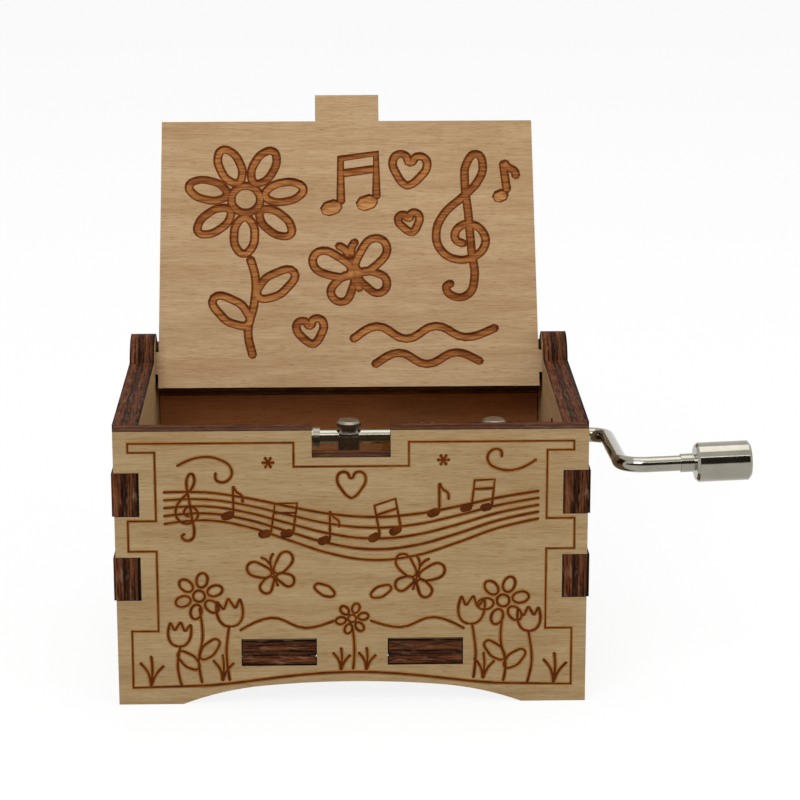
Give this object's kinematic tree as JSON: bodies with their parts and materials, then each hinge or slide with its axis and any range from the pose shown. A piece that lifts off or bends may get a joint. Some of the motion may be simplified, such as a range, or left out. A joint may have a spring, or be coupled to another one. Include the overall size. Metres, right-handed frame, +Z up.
{
  "type": "hand-cranked music box",
  "caption": "Small wooden box with a hinged lid around a hand-cranked movement: a worm turns a pinned cylinder beside a steel comb.",
  "frame": {"origin": "centre of the case's rectangular footprint, on the plane that its feet stand on", "axes": "+X towards the crank's side, +Y towards the back where the lid is hinged, +Z up"},
  "size_m": [0.0863, 0.0702, 0.0743],
  "materials": {
    "plywood": "bare pale basswood plywood with laser-burnt brown edges",
    "bed_casting": "die-cast zinc, dull plating",
    "dark_steel": "turned steel, dark plating",
    "plated_steel": "bright nickel plating",
    "worm_steel": "machined steel",
    "brass": "machined brass",
    "pin_steel": "ground steel",
    "plug_plastic": "black moulded plastic",
    "comb_steel": "ground spring steel",
    "lead": "dull lead",
    "screw_steel": "zinc-plated steel"
  },
  "bodies": {
    "case": {"front_panel": "plywood", "back_panel": "plywood", "left_side_panel": "plywood", "right_side_panel": "plywood", "bottom_panel": "plywood", "movement_bed": "bed_casting", "left_shaft_post": "dark_steel", "right_shaft_post": "dark_steel", "left_post_cap": "dark_steel", "right_post_cap": "dark_steel", "comb": "comb_steel", "comb_weights": "lead", "comb_screws": "screw_steel", "mounting_screws": "screw_steel"},
    "lid": {"lid": "plywood"},
    "crank": {"crank_rod": "plated_steel", "shaft_collar": "dark_steel", "shaft_clips": "dark_steel", "worm": "worm_steel", "knob_retaining_ring": "dark_steel"},
    "knob": {"crank_knob": "plated_steel"},
    "cylinder": {"worm_wheel": "brass", "cylinder_sleeve": "brass", "cylinder_pins": "pin_steel", "cylinder_front_plug": "plug_plastic", "cylinder_rear_plug": "plug_plastic", "cylinder_arbor": "worm_steel"}
  },
  "joints": [
    {"name": "lid_hinge", "type": "hinge", "parent": "case", "child": "lid", "pos_m": [0, 0.017, 0.037], "axis": [1, 0, 0], "range_deg": [0, 123]},
    {"name": "crank_spin", "type": "hinge", "parent": "case", "child": "crank", "pos_m": [0, -0.005, 0.03215], "axis": [1, 0, 0], "continuous": true},
    {"name": "cylinder_spin", "type": "hinge", "parent": "case", "child": "cylinder", "pos_m": [0.0101, 0, 0.0224], "axis": [0, 1, 0], "continuous": true},
    {"name": "knob_spin", "type": "hinge", "parent": "crank", "child": "knob", "pos_m": [0.03653, -0.02598, 0.03358], "axis": [0.9984, 0.0513, 0.0244], "continuous": true}
  ],
  "couplings": [
    {"joint": "cylinder_spin", "follows": "crank_spin", "ratio": -0.030303}
  ]
}
